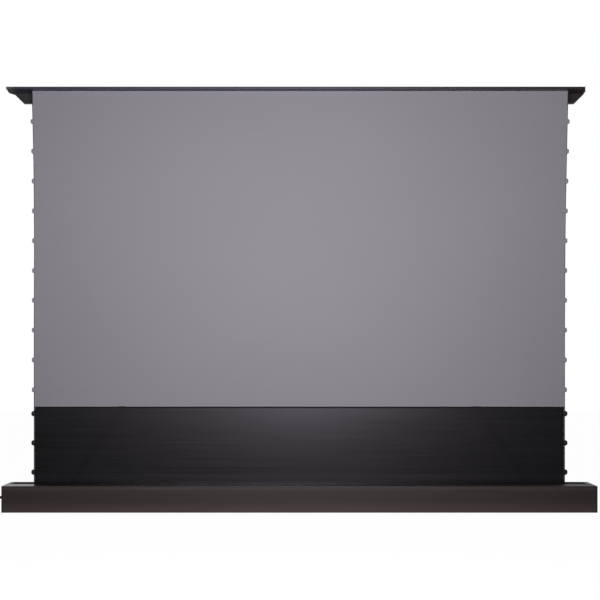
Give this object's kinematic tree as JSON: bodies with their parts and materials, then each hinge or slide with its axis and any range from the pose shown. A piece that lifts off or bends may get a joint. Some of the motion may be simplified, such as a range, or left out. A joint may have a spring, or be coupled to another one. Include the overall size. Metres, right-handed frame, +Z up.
{
  "type": "floor-rising projection screen",
  "caption": "Floor-standing motorised projection screen, raised: a grey tensioned cloth between a long housing with a roller and a lid on folding arms.",
  "frame": {"origin": "on the floor, under the middle of the housing, at the middle foot's underside, in the plane of the cloth", "axes": "+Z up, +X along the housing to the viewer's right, the picture side faces -Y"},
  "size_m": [2.4666, 0.17, 1.76],
  "materials": {
    "anodised_black": "satin brown-black anodised extrusion",
    "moulded_black": "fine-grained black moulding",
    "rubber": "matt black",
    "zinc_steel": "zinc-plated pressed steel",
    "bright_steel": "turned steel",
    "plain_aluminium": "mill-finish drawn tube",
    "arm_paint": "black powder coat",
    "grey_cloth": "coated grey screen cloth with fine horizontal ribs and a soft sheen",
    "black_cloth": "coated black cloth with a soft sheen",
    "cord": "braided black cord"
  },
  "bodies": {
    "housing": {"housing": "anodised_black", "left_end_cap": "moulded_black", "right_end_cap": "moulded_black", "left_foot": "rubber", "middle_foot": "rubber", "right_foot": "rubber", "power_inlet": "rubber", "left_roller_bracket": "zinc_steel", "right_roller_bracket": "zinc_steel", "motor": "moulded_black", "left_arm_base": "zinc_steel", "right_arm_base": "zinc_steel", "screen_fabric": "grey_cloth", "black_drop": "black_cloth", "left_tension_cord": "cord", "right_tension_cord": "cord", "tab_left_01": "black_cloth", "tab_left_02": "black_cloth", "tab_left_03": "black_cloth", "tab_left_04": "grey_cloth", "tab_left_05": "grey_cloth", "tab_left_06": "grey_cloth", "tab_left_07": "grey_cloth", "tab_left_08": "grey_cloth", "tab_left_09": "grey_cloth", "tab_left_10": "grey_cloth", "tab_left_11": "grey_cloth", "tab_left_12": "grey_cloth", "tab_left_13": "grey_cloth", "tab_right_01": "black_cloth", "tab_right_02": "black_cloth", "tab_right_03": "black_cloth", "tab_right_04": "grey_cloth", "tab_right_05": "grey_cloth", "tab_right_06": "grey_cloth", "tab_right_07": "grey_cloth", "tab_right_08": "grey_cloth", "tab_right_09": "grey_cloth", "tab_right_10": "grey_cloth", "tab_right_11": "grey_cloth", "tab_right_12": "grey_cloth", "tab_right_13": "grey_cloth"},
    "roller": {"roller_tube": "plain_aluminium", "fabric_wraps": "black_cloth", "drive_crown": "moulded_black", "idler_plug": "moulded_black"},
    "left_lower_arm": {"left_lower_arm": "arm_paint", "left_elbow_pin": "bright_steel"},
    "left_upper_arm": {"left_upper_arm": "arm_paint"},
    "lid": {"lid_plate": "anodised_black", "lid_beam": "anodised_black", "left_lid_cap": "moulded_black", "right_lid_cap": "moulded_black", "left_lid_bracket": "zinc_steel", "right_lid_bracket": "zinc_steel", "left_lid_pin": "bright_steel", "right_lid_pin": "bright_steel"},
    "right_lower_arm": {"right_lower_arm": "arm_paint", "right_elbow_pin": "bright_steel"},
    "right_upper_arm": {"right_upper_arm": "arm_paint"}
  },
  "joints": [
    {"name": "left_base_hinge", "type": "hinge", "parent": "housing", "child": "left_lower_arm", "pos_m": [-1.008, 0.06, 0.037], "axis": [0, 1, 0], "range_deg": [0, 56.26], "stiffness_Nm_per_rad": 60, "springref_deg": -91.67, "deforming": ["screen_fabric", "black_drop", "left_tension_cord", "right_tension_cord", "tab_left_01", "tab_left_02", "tab_left_03", "tab_left_04", "tab_left_05", "tab_left_06", "tab_left_07", "tab_left_08", "tab_left_09", "tab_left_10", "tab_left_11", "tab_left_12", "tab_left_13", "tab_right_01", "tab_right_02", "tab_right_03", "tab_right_04", "tab_right_05", "tab_right_06", "tab_right_07", "tab_right_08", "tab_right_09", "tab_right_10", "tab_right_11", "tab_right_12", "tab_right_13"]},
    {"name": "left_elbow_hinge", "type": "hinge", "parent": "left_lower_arm", "child": "left_upper_arm", "pos_m": [-0.4659, 0.05, 0.863], "axis": [0, 1, 0], "range_deg": [-113.02, 0.5]},
    {"name": "lid_hinge", "type": "hinge", "parent": "left_upper_arm", "child": "lid", "pos_m": [-1.008, 0.04, 1.689], "axis": [0, 1, 0], "range_deg": [-0.5, 56.76]},
    {"name": "right_base_hinge", "type": "hinge", "parent": "housing", "child": "right_lower_arm", "pos_m": [1.008, 0.06, 0.037], "axis": [0, 1, 0], "range_deg": [-56.76, 0.5]},
    {"name": "right_elbow_hinge", "type": "hinge", "parent": "right_lower_arm", "child": "right_upper_arm", "pos_m": [0.4659, 0.05, 0.863], "axis": [0, 1, 0], "range_deg": [-0.5, 113.02]},
    {"name": "roller_turn", "type": "hinge", "parent": "housing", "child": "roller", "pos_m": [0, -0.03165, 0.055], "axis": [-1, 0, 0], "range_deg": [-2, 2832]}
  ],
  "couplings": [
    {"joint": "left_elbow_hinge", "follows": "left_base_hinge", "ratio": -2},
    {"joint": "lid_hinge", "follows": "left_base_hinge", "ratio": 1},
    {"joint": "right_base_hinge", "follows": "left_base_hinge", "ratio": -1},
    {"joint": "right_elbow_hinge", "follows": "left_base_hinge", "ratio": 2},
    {"joint": "roller_turn", "follows": "left_base_hinge", "ratio": 50.3}
  ]
}
